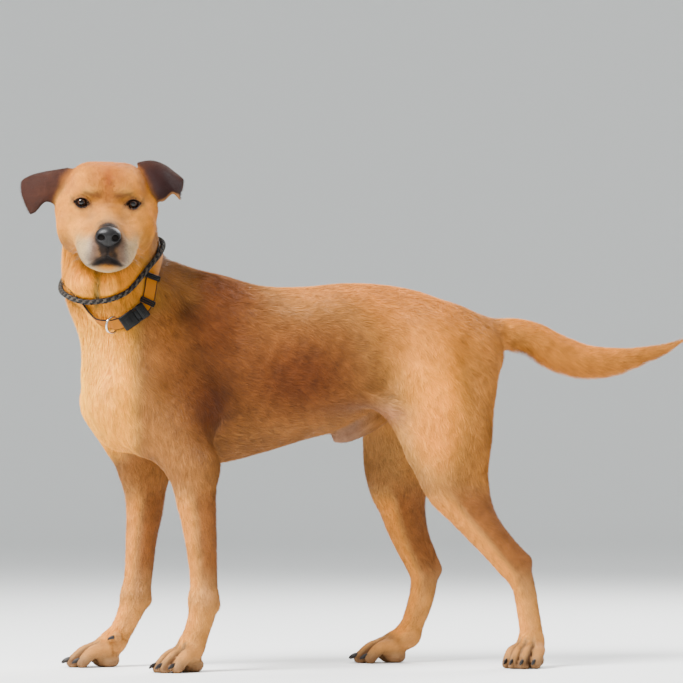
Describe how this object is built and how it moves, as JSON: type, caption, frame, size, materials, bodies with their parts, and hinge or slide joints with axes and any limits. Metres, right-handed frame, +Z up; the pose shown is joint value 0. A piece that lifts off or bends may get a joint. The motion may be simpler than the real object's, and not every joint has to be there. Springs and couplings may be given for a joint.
{
  "type": "standing short-haired dog model",
  "caption": "Life-size still model of a standing tan short-haired dog with its head turned to the left, wearing a webbing collar and a rope collar.",
  "frame": {"origin": "on the floor under the middle of the dog's bounding box", "axes": "+Z up; the dog faces -X, with its left side towards -Y and its tail towards +X; the head is turned towards -Y"},
  "size_m": [1.0328, 0.3702, 0.7445],
  "materials": {
    "coat_tan": "short dense tan coat over skin",
    "coat_pale": "paler sandy coat of the neck, paws and underside",
    "coat_ear": "dark brown velvety coat of the ears",
    "eye": "wet brown iris under a clear cornea",
    "nose_leather": "moist black pebbled nose leather",
    "claw_horn": "dark worn horn",
    "webbing": "mustard woven webbing with black edges",
    "rope": "black and grey braided cord",
    "buckle_plastic": "black moulded side-release buckle",
    "ring_steel": "worn steel wire"
  },
  "bodies": {
    "root": {"head": "coat_tan", "neck": "coat_pale", "trunk": "coat_tan", "tail_base": "coat_tan", "tail_tip": "coat_tan", "sheath": "coat_pale", "ear_left": "coat_ear", "ear_right": "coat_ear", "eye_left": "eye", "eye_right": "eye", "nose": "nose_leather", "webbing_collar": "webbing", "rope_collar": "rope", "buckle": "buckle_plastic", "slider": "buckle_plastic", "ring": "ring_steel", "dewclaw_left": "claw_horn", "dewclaw_right": "claw_horn", "fore_left_upper_arm": "coat_tan", "fore_left_forearm": "coat_tan", "fore_left_paw": "coat_pale", "fore_right_upper_arm": "coat_tan", "fore_right_forearm": "coat_tan", "fore_right_paw": "coat_pale", "hind_left_thigh": "coat_tan", "hind_left_shank": "coat_tan", "hind_left_paw": "coat_pale", "hind_right_thigh": "coat_tan", "hind_right_shank": "coat_tan", "hind_right_paw": "coat_pale", "claw_fore_left_1": "claw_horn", "claw_fore_left_2": "claw_horn", "claw_fore_left_3": "claw_horn", "claw_fore_left_4": "claw_horn", "claw_fore_right_1": "claw_horn", "claw_fore_right_2": "claw_horn", "claw_fore_right_3": "claw_horn", "claw_fore_right_4": "claw_horn", "claw_hind_left_1": "claw_horn", "claw_hind_left_2": "claw_horn", "claw_hind_left_3": "claw_horn", "claw_hind_left_4": "claw_horn", "claw_hind_right_1": "claw_horn", "claw_hind_right_2": "claw_horn", "claw_hind_right_3": "claw_horn", "claw_hind_right_4": "claw_horn"}
  },
  "joints": []
}
